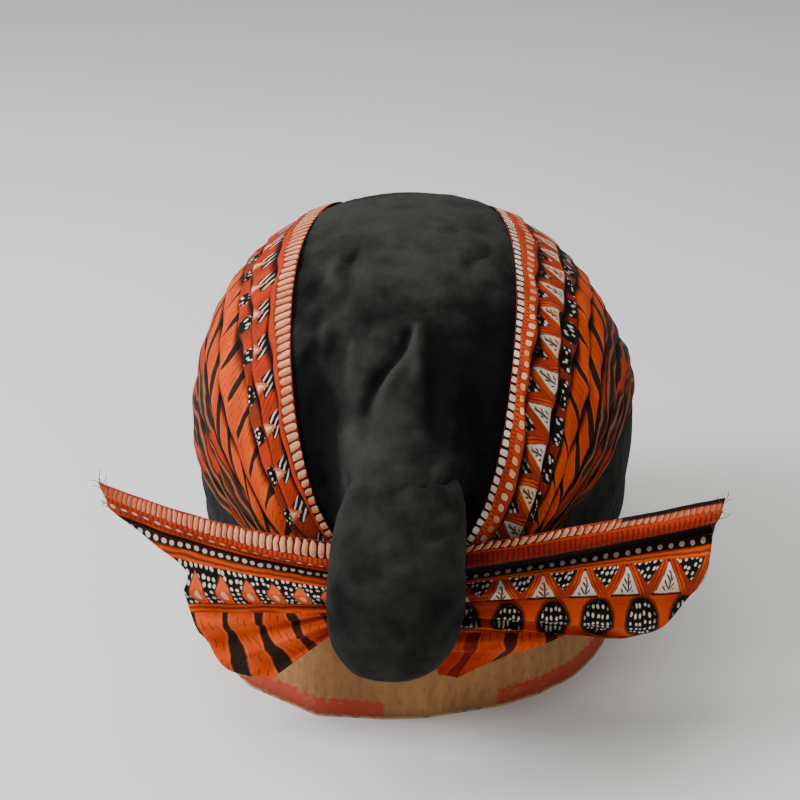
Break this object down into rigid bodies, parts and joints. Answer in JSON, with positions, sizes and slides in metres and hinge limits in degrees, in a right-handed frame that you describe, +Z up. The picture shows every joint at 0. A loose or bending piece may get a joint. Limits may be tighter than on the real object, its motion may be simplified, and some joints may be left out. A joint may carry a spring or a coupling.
{
  "type": "blangkon cap on a cardboard ring stand",
  "caption": "Wrapped and pleated batik cap with a black crown, a stuffed bulge behind and two free cloth ends tied behind it, resting on a ring of corrugated cardboard.",
  "frame": {"origin": "on the surface that the cardboard ring stands on, under the middle of the whole object's box", "axes": "+Z up, +Y towards the wearer's front, -Y behind, where the stuffed bulge is, +X towards the wearer's right"},
  "size_m": [0.2338, 0.2594, 0.182],
  "materials": {
    "black_cotton": "plain-weave black cotton, matt, slightly faded and creased",
    "batik_cotton": "wax-resist printed cotton, orange with dark brown, cream and black",
    "cardboard": "kraft-brown corrugated board with a faded red printed edge"
  },
  "bodies": {
    "root": {"crown": "black_cotton", "mondolan": "black_cotton", "left_folds": "batik_cotton", "right_folds": "batik_cotton", "left_wrap": "black_cotton", "right_wrap": "black_cotton", "left_wing": "batik_cotton", "right_wing": "batik_cotton", "tie": "batik_cotton", "cardboard_ring": "cardboard"}
  },
  "joints": []
}
